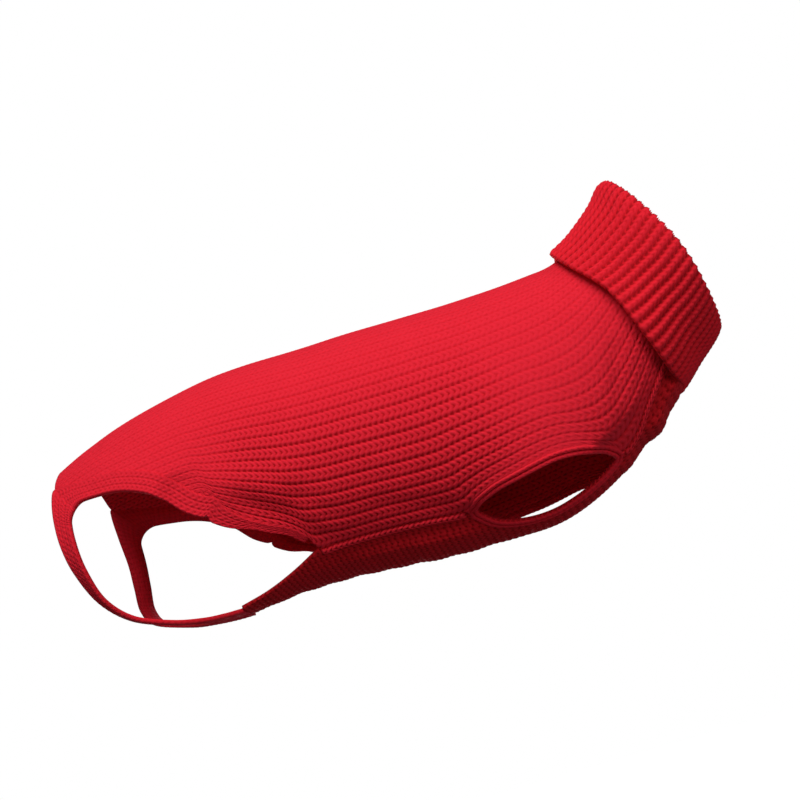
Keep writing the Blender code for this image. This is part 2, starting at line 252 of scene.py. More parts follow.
def trunk(along, turn):
    """Points on the inside of the trunk: half ellipses round a line that leans from the top to the low
    point."""
    row = row_of(TRUNK["top_x"], along)
    top_x, top_z, low_x, low_z, half_width = (through(column, row) for column in TRUNK.values())
    angle = np.pi * np.abs(turn)
    down = 0.5 - 0.5 * np.cos(angle)
    x = top_x + (low_x - top_x) * down
    y = -np.sign(turn) * half_width * np.sin(angle)
    z = top_z + (low_z - top_z) * down
    return np.stack([x, y, z], axis=-1)


def trunk_outward(along, turn):
    """The direction out of the trunk, from its slopes along and around."""
    step_along, step_turn = 0.5, 0.002
    forward = trunk(along + step_along, turn) - trunk(along - step_along, turn)
    side = np.where(turn < 0, -1, 1)
    around = trunk(along, turn + side * step_turn) - trunk(along, turn)
    return unit(side[..., None] * np.cross(around, forward))


def fold_depth(along, turn):
    """The sum of all folds and ripples: depth times exp(-(d / width)²), d being the distance to the line."""
    place = np.stack([along, turn * HALF_GIRTH], axis=-1)
    total = np.zeros(along.shape)
    for from_x, from_turn, to_x, to_turn, width, depth in zip(*FOLDS.values()):
        start = np.array([from_x, from_turn * HALF_GIRTH])
        run = np.array([to_x, to_turn * HALF_GIRTH]) - start
        part = np.clip((place - start) @ run / (run @ run), 0, 1)
        distance = np.linalg.norm(place - start - part[..., None] * run, axis=-1)
        total += depth * np.exp(-((distance / width) ** 2))
    for x, from_turn, width, depth in zip(*RIPPLES.values()):
        on_belly = smooth((np.abs(turn) - from_turn) / 0.05 + 0.5)
        total += depth * np.exp(-(((along - x) / width) ** 2)) * on_belly
    return total


def limb_push(along, turn):
    """How far the limbs hold the cloth out above their openings: the most at the opening's edge, less with
    the square of the distance above it, and nothing at its two ends, beyond it or on the belly side."""
    total = np.zeros(along.shape)
    for x, reach, from_turn, edge_turn, push in zip(*LIMBS.values()):
        rise = np.clip((np.abs(turn) - from_turn) / (edge_turn - from_turn), 0, 1.2) ** 2
        beyond = 1 - smooth((np.abs(turn) - edge_turn - 0.03) / 0.05)
        total += push * smooth(1 - np.abs(along - x) / reach) * rise * beyond
    return total


def on_trunk(along, turn, height):
    """Points on the folded trunk, moved out of it by a height, and sideways by the limbs."""
    lift = height - fold_depth(along, turn)
    side = np.where(turn < 0, -1, 1)
    level = np.full(side.shape, -LIMB_PUSH_DOWN)
    sideways = np.stack([np.zeros(side.shape), -LIMB_PUSH_OUT * side, level], axis=-1)
    placed = trunk(along, turn) + trunk_outward(along, turn) * lift[..., None]
    return placed + sideways * limb_push(along, turn)[..., None]


def turn_width(along, turn):
    """Millimetres of cloth for a whole turn, at a place on the trunk."""
    step = 0.002
    return np.linalg.norm(trunk(along, turn) - trunk(along, turn - step), axis=-1) / step


def gentle(bends):
    """The gentle part of what the edge adds at each course: a mean over the courses near by, with the weights
    exp(-(d / BEND_REACH)²)."""
    apart = COURSES["spine_x"][:, None] - COURSES["spine_x"]
    weights = np.exp(-((apart / BEND_REACH) ** 2)) * np.gradient(COURSES["spine_x"])
    return weights @ bends / weights.sum(axis=1)


def back_place(share, stitch):
    """Places (along, turn) on the back panel. The turn grows evenly with the share of the way to the lower
    edge, less what the ribs are drawn up by (share to DRAWN_UP_POWER). Towards the edge it takes on the
    edge's gentle bends (share to EDGE_BEND_POWER), and its sharp ones over the last ribs alone (share to
    SHARP_BEND_POWER). The rows bend from the spine's x to the edge's in the same two parts, the gentle one
    with the cube of the share."""
    course = row_of(COURSES["spine_x"], NECK_X - STITCH * stitch)
    spine, edge, edge_turn, rib_turn = (through(column, course) for column in COURSES.values())
    gentle_turn = through(gentle(COURSES["edge_turn"] - COURSES["rib_turn"]), course)
    gentle_x = through(gentle(COURSES["edge_x"] - COURSES["spine_x"]), course)
    turn = share * (MIDDLE_TURN + (rib_turn - MIDDLE_TURN) * share**DRAWN_UP_POWER)
    turn = turn + gentle_turn * share**EDGE_BEND_POWER
    turn = turn + (edge_turn - rib_turn - gentle_turn) * share**SHARP_BEND_POWER
    return spine + gentle_x * share**3 + (edge - spine - gentle_x) * share**SHARP_BEND_POWER, turn


def seamed_place(share, stitch):
    """As back_place(), for a grid of stitches, with half the seam's gap left free at the lower edge."""
    along, turn = back_place(np.broadcast_to(share, stitch.shape), stitch)
    return along, turn - (share == 1) * 0.5 * SEAM_GAP / turn_width(along, turn)


def last_stitch(share):
    """How many stitches a rib has from the neck to the rear edge."""
    start_x = through(REAR_EDGE["start_x"], row_of(REAR_EDGE["share"], share))
    return (NECK_X - start_x) / STITCH


def columns_for(ribs, stations):
    """Rib numbers, with their fraction, of a grid's columns: the same stations across each rib."""
    return np.append((np.arange(ribs)[:, None] + stations).ravel(), ribs)


def from_middle(rib):
    """How far a place is from the middle line of its rib: 0 on it and 1 in the furrow."""
    return np.abs(2 * (rib % 1) - 1)


def v_lead(rib):
    """How many stitches a row lies behind its mean place: a zigzag, with its points on the ribs' middles."""
    return V_REACH * (from_middle(rib) - 0.5)


def relief(rib, stitch, rise=RIB_RISE, leg=LEG_RISE, furrow=FURROW_DEPTH, dent=MIDDLE_DENT):
    """The knit's height over its plain wall: a rib that rounds off as 1 - f to the power 6, f being the
    distance from its middle, less a furrow, and a rounded leg of yarn for each stitch. Where two stitches
    meet the yarn sinks, most of all on the middle line and in the furrow, with a row of pits in both."""
    away = from_middle(rib)
    yarn = np.abs(np.sin(np.pi * stitch))
    profile = rise * (1 - away**6 * (1 - 0.3 * yarn)) - furrow * away**16 * (1 - 0.7 * yarn)
    pit = dent * np.exp(-((away / 0.22) ** 2)) * (1 - 0.6 * yarn)
    return profile - pit + leg * (yarn - 0.6) * (0.25 + 0.75 * (2 * away - 1) ** 2)


def uneven(rib, stitch):
    """The hand of the knitter: a slow, shallow unevenness between stitches, from -1 to 1, as a sum of
    sines."""
    return (
        np.sin(1.9 * rib + 0.37 * stitch)
        + np.sin(0.83 * rib - 0.61 * stitch + 1.3)
        + np.sin(2.7 * np.floor(rib) + 0.11 * stitch + 0.7)
    ) / 3


def surface(ids):
    """Two triangles for each cell of a grid of corner numbers."""
    corners = (ids[:-1, :-1], ids[:-1, 1:], ids[1:, 1:], ids[1:, :-1])
    a, b, c, d = (corner.reshape(-1) for corner in corners)
    return np.concatenate([np.stack([a, b, c], axis=1), np.stack([a, c, d], axis=1)])


def rim(first, second):
    """Triangles between two lines of corners: at each step the line that is behind moves on by one corner."""
    first, second = (line[np.append(True, np.diff(line) != 0)] for line in (first, second))
    shares = [np.arange(1, len(line)) / (len(line) - 1) for line in (first, second)]
    order = np.argsort(np.concatenate(shares), kind="stable")
    first_moves = order < len(shares[0])
    at_first, at_second = np.cumsum(first_moves), np.cumsum(~first_moves)
    old_first, old_second = first[at_first - first_moves], second[at_second - ~first_moves]
    return np.where(
        first_moves[:, None],
        np.stack([first[at_first], old_first, old_second], axis=1),
        np.stack([old_first, old_second, second[at_second]], axis=1),
    )


def cloth(name, outside, inside, closed_around=False, closed_along=False):
    """A closed wall of cloth between an outside and an inside. Each is a grid of points, a grid of stitch
    places (rib, stitch, and the share of relief and painted shade kept), and the row that each of its corners
    falls on, or None where all rows run the whole way. The cells that this closes are dropped."""
    grids, owners, points, places = [], [], [], []
    start = 0
    for point_grid, place_grid, row in (outside, inside):
        rows, columns = point_grid.shape[:2]
        owner = start + np.arange(rows * columns).reshape(rows, columns)
        row = np.arange(rows)[:, None] if row is None else row
        grids.append(start + row * columns + np.arange(columns))
        if closed_around:
            owner[:, -1] = owner[:, 0]
        if closed_along:
            owner[-1] = owner[0]
        owners.append(owner.ravel())
        points.append(point_grid.reshape(-1, 3))
        places.append(place_grid.reshape(-1, 3))
        start += rows * columns
    outer, inner = grids
    faces = [surface(outer), surface(inner)[:, ::-1]]
    if not closed_along:
        faces += [rim(outer[0], inner[0]), rim(outer[-1, ::-1], inner[-1, ::-1])]
    if not closed_around:
        faces += [rim(outer[:, -1], inner[:, -1]), rim(outer[::-1, 0], inner[::-1, 0])]
    faces = np.concatenate(faces)
    owners, points, places = (np.concatenate(part) for part in (owners, points, places))
    a, b, c = owners[faces].T
    faces = faces[(a != b) & (b != c) & (c != a)]
    if np.linalg.det(points[owners[faces]]).sum() < 0:
        faces = faces[:, ::-1]
    return knitted_piece(name, points, owners[faces], places[faces])


def knitted_piece(name, points, faces, places):
    """A mesh object from triangles and the stitch place of each of their corners: the rib and the stitch go
    into a UV map, and the share of relief and painted shade kept into an attribute."""
    used, corners = np.unique(faces, return_inverse=True)
    mesh = bpy.data.meshes.new(name)
    mesh.from_pydata((points[used] * METRES).tolist(), [], corners.reshape(-1, 3).tolist())
    places = places.reshape(-1, 3).astype(np.float32)
    mesh.uv_layers.new(name="stitches").data.foreach_set("uv", places[:, :2].ravel())
    mesh.attributes.new("relief_and_shade_kept", "FLOAT", "CORNER").data.foreach_set("value", places[:, 2].copy())
    mesh.shade_smooth()
    piece = bpy.data.objects.new(name, mesh)
    bpy.context.scene.collection.objects.link(piece)
    return piece


def places_of(rib, stitch, loose=1.0):
    """Stitch places from rib and stitch numbers of the same or of matching shapes, and how much of its relief
    and of its painted shade the cloth keeps there."""
    return np.stack(np.broadcast_arrays(rib, stitch, loose), axis=-1)


# How far the painted shade of the gap between two stitches reaches along the rib, from the gap's middle (0)
# to the stitch's middle (1).
GAP_REACH = 0.8
# The finer looks of the yarn: the scales of its fibres, flecks and blotches, how far its strands wind back
# across a rib, in stitches, and along a stitch, in radians, and how deep the bump is.
FIBRE_SCALE = 2600.0
FLECK_SCALE = 620.0
BLOTCH_SCALE = 55.0
TWIST_SLANT = 1.7
TWIST_RADIANS = 12.6
BUMP_STRENGTH = 0.55
BUMP_DISTANCE = 0.0007
YARN_FINISH = {
    "Roughness": 0.92,
    "Specular IOR Level": 0.12,
    "Sheen Weight": 0.12,
    "Sheen Roughness": 0.45,
    "Sheen Tint": (1.0, 0.12, 0.25, 1.0),
}


def knit(name, lit_crest, shaded_side, furrow, leg_contrast=0.9, rib_contrast=1.0, furrow_width=0.36, flecks=0.0):
    """A knitted material that follows the stitch places in the UV map. Its colour paints light and shade: it
    goes from the painted shadow of the furrow to the legs' shaded side and on to their lit crest, with the
    distance from the furrow and from the gap between two stitches, the more so the more relief the cloth
    keeps; the gap and a pit on the middle line are painted shade too. Noise varies the tone at random. The
    bump adds the rounded legs, the twist of the yarn as a slanting sine, and short fibres."""
    material = bpy.data.materials.new(name)
    material.use_nodes = True
    tree = material.node_tree
    shader = tree.nodes["Principled BSDF"]

    # feed() fills a node's inputs, each with a number, a colour or what comes out of another node. The others
    # put a node into the tree and give what comes out of it.
    def feed(node, inputs):
        for socket, value in inputs.items():
            if isinstance(value, bpy.types.NodeSocket):
                tree.links.new(value, node.inputs[socket])
            else:
                node.inputs[socket].default_value = value

    def add(kind, inputs=None, **settings):
        node = tree.nodes.new(kind)
        for setting, value in settings.items():
            setattr(node, setting, value)
        feed(node, inputs or {})
        return node.outputs

    def maths(operation, *values):
        return add("ShaderNodeMath", dict(enumerate(values)), operation=operation)[0]

    def eased(*values):
        return add("ShaderNodeMapRange", dict(enumerate(values)), interpolation_type="SMOOTHSTEP")[0]

    def blended(share, first, second):
        return add("ShaderNodeMix", {0: share, 6: first, 7: second}, data_type="RGBA")[2]

    def noise(scale, detail):
        return add("ShaderNodeTexNoise", {"Vector": place, "Scale": scale, "Detail": detail})[0]

    place = add("ShaderNodeTexCoord")["Object"]
    at_rib, at_stitch = add("ShaderNodeSeparateXYZ", {0: add("ShaderNodeUVMap", uv_map="stitches")[0]})[:2]
    loose = add("ShaderNodeAttribute", attribute_name="relief_and_shade_kept")["Fac"]
    across = maths("MULTIPLY", maths("PINGPONG", at_rib, 0.5), 2.0)
    along = maths("MULTIPLY", maths("PINGPONG", at_stitch, 0.5), 2.0)
    # Painted shade: the furrow, the gap between two stitches and a pit on the middle line are darkened, the
    # more so where the cloth keeps more relief; lit is what is left.
    off_leg = maths("ABSOLUTE", maths("SUBTRACT", maths("MULTIPLY", across, 2.0), 1.0))
    off_leg_share = eased(off_leg, 0.1, 0.8, 0.35 * leg_contrast, leg_contrast)
    stitch_gap_shade = maths("MULTIPLY", eased(along, GAP_REACH, 0.0), off_leg_share)
    bridged = eased(along, 1.0, 0.3, 0.5, 1.0)
    rib = maths("MULTIPLY", eased(across, 0.0, furrow_width, rib_contrast, 0.0), bridged)
    pit = maths("MULTIPLY", eased(across, 0.7, 0.98), 0.2 * leg_contrast)
    painted_shade = maths("MAXIMUM", maths("MAXIMUM", stitch_gap_shade, pit), rib)
    lit = maths("SUBTRACT", 1.0, maths("MULTIPLY", painted_shade, loose))
    fibres = noise(FIBRE_SCALE, 3.0)
    varied = lit
    for pattern, weight in (
        (fibres, 0.35),
        (noise(BLOTCH_SCALE, 2.0), 0.25),
        (noise(FLECK_SCALE, 1.0), flecks),
    ):
        varied = maths("ADD", varied, maths("MULTIPLY", maths("SUBTRACT", pattern, 0.5), weight))
    # The colour ramp paints light and shade, from the furrow's painted shadow to the shaded side and on to
    # the lit crest; the noise also varies the tone at random.
    colour = blended(eased(varied, 0.0, 0.45), (*furrow, 1.0), (*shaded_side, 1.0))
    colour = blended(eased(varied, 0.35, 1.05), colour, (*lit_crest, 1.0))
    wound = maths("ADD", at_stitch, maths("MULTIPLY", across, TWIST_SLANT))
    twist = maths("SINE", maths("MULTIPLY", wound, TWIST_RADIANS))
    height = maths("ADD", lit, maths("MULTIPLY", maths("MULTIPLY", twist, loose), 0.07))
    height = maths("ADD", height, maths("MULTIPLY", fibres, 0.5))
    bump = add("ShaderNodeBump", {"Strength": BUMP_STRENGTH, "Distance": BUMP_DISTANCE, "Height": height})[0]
    feed(shader, {"Base Color": colour, "Normal": bump, **YARN_FINISH})
    return material


# The back panel's reds paint light and shade: the lit crest, the shaded side and the painted shadow in the
# furrows and stitch gaps.
RED_LIT_CREST = (0.83, 0.018, 0.037)
RED_SHADED_SIDE = (0.72, 0.011, 0.022)
RED_FURROW_SHADOW = (0.44, 0.005, 0.009)
# How much of the knit's relief and of its painted shade is left: the least where the cloth is stretched,
# what the loose middle of a flank adds, what the cloth before an armhole adds, and what is lost right above
# it. The painted shade is kept faint over the back and right above the armholes also because the light falls
# strongest there. The places and reaches along the trunk are those of the loose middle and of the armhole.
KEPT_STRETCHED = 0.46
KEPT_MORE_ON_FLANK = 0.64
KEPT_MORE_BEFORE_ARMHOLE = 0.4
LOST_ABOVE_ARMHOLE = 0.4
FLANK_X, FLANK_REACH = 12, 100
ARMHOLE_X, ARMHOLE_REACH = 92, 40


def relief_and_shade_kept(along, share):
    """How much of its relief, and of the material's painted shade, the cloth keeps, at an x and a share of
    the
    way to the lower edge: the most in the middle of each flank, and less, eased, towards the rump, the
    shoulders, the back and the armholes."""
    lengthwise = smooth(2.2 * (1 - np.abs(along - FLANK_X) / FLANK_REACH))
    below_back = smooth((share - 0.3) / 0.4)
    over_armhole = smooth(1.6 * (1 - np.abs(along - ARMHOLE_X) / ARMHOLE_REACH))
    above_armhole = smooth((share - 0.86) / 0.1) * over_armhole
    before_armhole = KEPT_MORE_BEFORE_ARMHOLE * smooth((along - 112) / 20) * smooth((share - 0.7) / 0.2)
    kept = KEPT_STRETCHED + KEPT_MORE_ON_FLANK * lengthwise * below_back + before_armhole
    return kept * (1 - LOST_ABOVE_ARMHOLE * above_armhole)


def back_columns(stations):
    """A grid's columns across the panel: their rib numbers, their share of the way from the spine to the
    lower edge, and their side."""
    rib = columns_for(BACK_RIBS, stations)
    share = 2 * rib / BACK_RIBS - 1
    return rib, np.abs(share), np.where(share < 0, -1, 1)


def back_panel():
    """The outside has its rows of points along the rows of stitches, so they run in V's; the inside is
    plain. Rows past a column's last fall on it."""
    rib, share, side = back_columns(RIB_COLUMNS)
    lead = v_lead(rib)
    end = last_stitch(share)
    last = np.rint((end - lead) * ROWS_PER_STITCH).astype(int)
    row = np.arange(last.max() + 1)[:, None]
    stitch = np.where(row >= last, end - lead, row / ROWS_PER_STITCH)
    wander = uneven(rib, stitch)
    astray = UNEVEN_PLACE * wander * smooth(stitch / 3) * (row < last - 1)
    along, turn = seamed_place(share, stitch + lead * smooth(stitch / 1.5) + astray)
    kept = relief_and_shade_kept(along, share)
    rise = relief(rib, stitch) + UNEVEN_HEIGHT * wander
    edge = smooth((last - row) / ROWS_PER_STITCH + 0.35) * smooth(stitch + 0.35)
    outside = on_trunk(along, turn * side, WALL + (rise * kept - RELIEF_SUNK) * edge)
    outside_places = places_of(rib, stitch, kept)

    plain_rib, plain_share, plain_side = back_columns(PLAIN_COLUMNS)
    plain_end = last_stitch(plain_share)
    plain_last = np.rint(plain_end).astype(int)
    plain_row = np.arange(plain_last.max() + 1)[:, None]
    plain_stitch = np.where(plain_row >= plain_last, plain_end, plain_row)
    along, turn = seamed_place(plain_share, plain_stitch)
    inside = on_trunk(along, turn * plain_side, np.zeros(turn.shape))
    inside_places = places_of(plain_rib, plain_stitch - v_lead(plain_rib))
    return cloth(
        "back_panel_knit",
        (outside, outside_places, np.minimum(row, last)),
        (inside, inside_places, np.minimum(plain_row, plain_last)),
    )


back = back_panel()
back.data.materials.append(knit("back_rib_knit", RED_LIT_CREST, RED_SHADED_SIDE, RED_FURROW_SHADOW))
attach(back, "root")
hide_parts("back_panel")

# ------------------------------------------------------------
# Belly panel. A narrow piece of finer, smoother knit under chest and belly, coloured a darker red than the
# back panel. It is linked to the back panel along both flanks, narrows to a bridge between the front legs and
# tapers out between the hind legs.
# ------------------------------------------------------------
BELLY_ARMHOLE = table(
    "edge_x edge_turn",
    (49, 0.80),
    (52, 0.835),
    (58, 0.87),
    (66, 0.90),
    (76, 0.92),
    (87, 0.93),
    (98, 0.933),
    (108, 0.934),
    (117, 0.93),
    (124, 0.915),
    (128, 0.885),
)
BELLY_TAPER = table(
    "edge_x edge_turn",
    (-98, 0.935),
    (-86, 0.92),
    (-72, 0.895),
    (-54, 0.85),
)
BELLY_STITCH = 3.5
# A wale is a column of stitches. The panel has at most this many on each side of its middle.
BELLY_WALE = 4.2
BELLY_WALES = 60
BELLY_COLUMNS_PER_WALE = 4
BELLY_ROWS_PER_STITCH = 4
# The turn at which a wale's width is measured, close to the panel's edge.
BELLY_WIDTH_TURN = 0.93
BELLY_RELIEF = dict(rise=0.15, leg=0.8, furrow=0.1, dent=0.1)
BELLY_UNEVEN = 0.1
BELLY_SUNK = 0.1
# How far a row's V's reach, as a share of the back panel's.
BELLY_V_SHARE = 0.35
# The belly's reds, set darker all over than the back panel's, with the same painted light and shade: a lit
# crest, a shaded side and a painted furrow shadow.
BELLY_LIT_CREST = (0.70, 0.010, 0.018)
BELLY_SHADED_SIDE = (0.48, 0.004, 0.007)
BELLY_FURROW_SHADOW = (0.28, 0.002, 0.004)


def belly_edge():
    """Places (along, turn) on the belly panel's edge: the taper, the seam, the armhole and the chest seam."""
    along, turn = (COURSES[name][JUNCTION_COURSE:].copy() for name in ("edge_x", "edge_turn"))
    armhole = slice(ARMHOLE_START_COURSE - JUNCTION_COURSE, ARMHOLE_END_COURSE - JUNCTION_COURSE + 1)
    along[armhole] = BELLY_ARMHOLE["edge_x"]
    turn[armhole] = BELLY_ARMHOLE["edge_turn"]
    along = np.concatenate([BELLY_TAPER["edge_x"], along])
    return along, np.concatenate([BELLY_TAPER["edge_turn"], turn])


def belly_half_width(along):
    """Turns from the belly line to the panel's edge, at an x on the trunk's top line."""
    edge_along, edge_turn = belly_edge()
    turn = through(edge_turn, row_of(edge_along, along))
    return 1 - turn - 0.5 * SEAM_GAP / turn_width(along, turn)


def belly_grid(stations, rows_per_stitch, waved):
    """A half grid cut to the panel, from the belly line to the edge: each column is a place along the belly,
    each row a wale line, and a column's rows stop at the edge. Returned are along, turns from the belly line,
    wale and stitch, and the last row of each column."""
    edge_along = belly_edge()[0]
    length = edge_along[-1] - edge_along[0]
    stitches = round(length / BELLY_STITCH)
    stitch = np.arange(stitches * rows_per_stitch + 1) / rows_per_stitch
    wales = np.arange(BELLY_WALES * len(stations))
    wale = (wales // len(stations)) + stations[wales % len(stations)]
    ease = smooth(stitch / 1.5) * smooth((stitches - stitch) / 1.5)
    lead = BELLY_V_SHARE * waved * v_lead(wale)[:, None] * ease
    along = edge_along[-1] - (stitch + lead) * length / stitches
    per_turn = turn_width(along, np.full(along.shape, BELLY_WIDTH_TURN))
    half = belly_half_width(along)
    reach = wale[:, None] * BELLY_WALE / per_turn
    last = (reach < half - 0.4 * BELLY_WALE / len(stations) / per_turn).sum(axis=0)
    row = np.arange(len(wale))[:, None]
    across = np.where(row >= last, half, reach)
    wale_at = across * per_turn / BELLY_WALE
    kept = slice(0, last.max() + 1)
    stitch = np.broadcast_to(stitch, along.shape)
    return along[kept], across[kept], wale_at[kept], stitch[kept], last


def belly_panel():
    """The outside and the plain inside. Both halves of the panel are one grid: the rows of the left half in
    reverse, then those of the right. Rows past either edge fall on it."""
    sides = []
    for stations, rows_per_stitch, waved in (
        (np.arange(BELLY_COLUMNS_PER_WALE) / BELLY_COLUMNS_PER_WALE, BELLY_ROWS_PER_STITCH, True),
        (np.array([0.0]), 1, False),
    ):
        along, across, wale, stitch, last = belly_grid(stations, rows_per_stitch, waved)
        rows = len(along)
        row = np.arange(rows)[:, None]
        height = np.zeros(along.shape)
        if waved:
            rise = relief(wale, stitch, **BELLY_RELIEF) + BELLY_UNEVEN * uneven(wale, stitch) - BELLY_SUNK
            height = WALL + rise * smooth((last - row) / 3 + 0.3)
        right, left = on_trunk(along, 1 - across, height), on_trunk(along, across - 1, height)
        corner = np.minimum(row, last), np.arange(along.shape[1])
        points = np.concatenate([left[corner][::-1][:-1], right[corner]])
        mirrored, places = places_of(-wale, stitch), places_of(wale, stitch)
        places = np.concatenate([mirrored[corner][::-1][:-1], places[corner]])
        falls_on = np.clip(np.arange(len(points))[:, None], rows - 1 - last, rows - 1 + last)
        sides.append((points, places, falls_on))
    return cloth("belly_panel_knit", *sides)


belly = belly_panel()
belly.data.materials.append(knit(
    "belly_fine_knit", BELLY_LIT_CREST, BELLY_SHADED_SIDE, BELLY_FURROW_SHADOW, leg_contrast=0.8, rib_contrast=0.35, flecks=1.1
))
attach(belly, "root")
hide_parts("belly_panel")

# ------------------------------------------------------------
# Seam chains. The row of linking stitches that joins the two panels, a flat chain of loops in the panels'
# yarn. It lies over the joint, on the belly side, from the hind-leg opening to the armhole and from there to
# the neck.
# ------------------------------------------------------------
CHAIN_WIDTH = 4.4
CHAIN_HEIGHT = 1.3
# How far the strip is moved off the joint onto the belly, as a share of its width, how far its foot stands
# above the panels' walls and its inside below them, and how deep its two edges sink.
CHAIN_OFFSET = 0.12
CHAIN_FOOT = 0.1
CHAIN_DEPTH = 0.9
CHAIN_EDGE_SINK = 0.3
CHAIN_COLUMNS = np.array([0, 0.17, 0.34, 0.5, 0.66, 0.83])
# The share of the height that is left between two loops.
CHAIN_LOW = 0.35


def walked_along(points):
    """How far along a path each of its points lies."""
    return np.append(0, np.cumsum(np.linalg.norm(np.diff(points, axis=0), axis=1)))


def seam_chain(name, side, first_course, last_course):
    """A strip on the seam with one column of V loops: half an ellipse across it and a leg for each stitch."""
    fine = np.linspace(first_course, last_course, 40 * (last_course - first_course) + 1)
    along, turn = (through(COURSES[column], fine) for column in ("edge_x", "edge_turn"))
    walked = walked_along(trunk(along, turn))
    stitches = round(walked[-1] / STITCH)
    rib = columns_for(1, CHAIN_COLUMNS)
    stitch = np.linspace(0, stitches, stitches * ROWS_PER_STITCH + 1)[:, None]
    lead = v_lead(rib) * smooth(stitch) * smooth(stitches - stitch)
    at = (stitch + lead) * walked[-1] / stitches
    along, turn = (np.interp(at, walked, values) for values in (along, turn))
    turn = side * (turn + (rib + CHAIN_OFFSET) * CHAIN_WIDTH / turn_width(along, turn))
    away = from_middle(rib)
    rise = CHAIN_HEIGHT * np.sqrt(np.clip(1 - away**2, 0, 1)) - CHAIN_EDGE_SINK * away**4
    rise = rise * smooth(stitch + 0.3) * smooth(stitches - stitch + 0.3)
    loops = CHAIN_LOW + (1 - CHAIN_LOW) * np.abs(np.sin(np.pi * stitch))
    outside = on_trunk(along, turn, WALL + CHAIN_FOOT + rise * loops)
    ends = [0, -1]
    plain = stitch[::ROWS_PER_STITCH]
    height = np.full((len(plain), 2), WALL - CHAIN_DEPTH)
    inside = on_trunk(along[::ROWS_PER_STITCH, ends], turn[::ROWS_PER_STITCH, ends], height)
    return cloth(name, (outside, places_of(rib, stitch), None), (inside, places_of(rib[ends], plain), None))


seams = [
    seam_chain("belly_seam_chain_right", 1, JUNCTION_COURSE, ARMHOLE_START_COURSE),
    seam_chain("belly_seam_chain_left", -1, JUNCTION_COURSE, ARMHOLE_START_COURSE),
    seam_chain("chest_seam_chain_right", 1, ARMHOLE_END_COURSE, len(COURSES["edge_x"]) - 1),
    seam_chain("chest_seam_chain_left", -1, ARMHOLE_END_COURSE, len(COURSES["edge_x"]) - 1),
]
# The chain's reds paint light and shade: a lit crest brighter than the panels' and a deep painted furrow
# shadow; its shaded side is the back panel's.
CHAIN_LIT_CREST = (0.90, 0.022, 0.042)
CHAIN_FURROW_SHADOW = (0.30, 0.003, 0.006)
chain_knit = knit("seam_chain_yarn", CHAIN_LIT_CREST, RED_SHADED_SIDE, CHAIN_FURROW_SHADOW, leg_contrast=1.0, rib_contrast=0.8)
for seam in seams:
    seam.data.materials.append(chain_knit)
    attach(seam, "root")

# ------------------------------------------------------------
# Armhole edgings. A narrow border of two stitches round each armhole, picked up along the panels' cut edges,
# so that the edge lies flat on the leg.
# ------------------------------------------------------------
ARMHOLE_BAND_WIDTH = 5.0
ARMHOLE_BAND_COLUMNS = np.array([0, 0.13, 0.32, 0.5, 0.68, 0.87])
ARMHOLE_STITCH = 3.3
# How far a band's edge laps over the edge of the panel that it is knitted to.
LAP = 0.8
# The band's two ribs: how high they are, how deep their furrow is, how high a leg of yarn is and how far it
# slants back, in stitches. The band's edges are turned in by the last.
ARMHOLE_RIB_RISE = 0.9
ARMHOLE_FURROW = 0.5
ARMHOLE_LEG = 0.35
ARMHOLE_SLANT = 0.45
EDGE_TURNED_IN = 0.7
# How many rows' directions are averaged on each side of a row, and how far the inside stands off the limb.
ARMHOLE_EASED_ROWS = 5
ARMHOLE_INSIDE = 0.15


def across_strip(edge, face, closed=False):
    """The unit direction across a strip: its facing direction crossed with the way its edge runs."""
    if closed:
        tangent = np.roll(edge, -1, axis=0) - np.roll(edge, 1, axis=0)
    else:
        tangent = np.gradient(edge, axis=0)
    return unit(np.cross(face, unit(tangent)))


def eased_round(vectors, reach, closed=False):
    """Directions along a path, each averaged with its neighbours within a reach and made a unit vector
    again."""
    padded = np.pad(vectors, ((reach, reach), (0, 0)), mode="wrap" if closed else "edge")
    kernel = np.hanning(2 * reach + 3)[1:-1]
    return unit(np.stack([np.convolve(column, kernel, "valid") for column in padded.T], axis=-1))


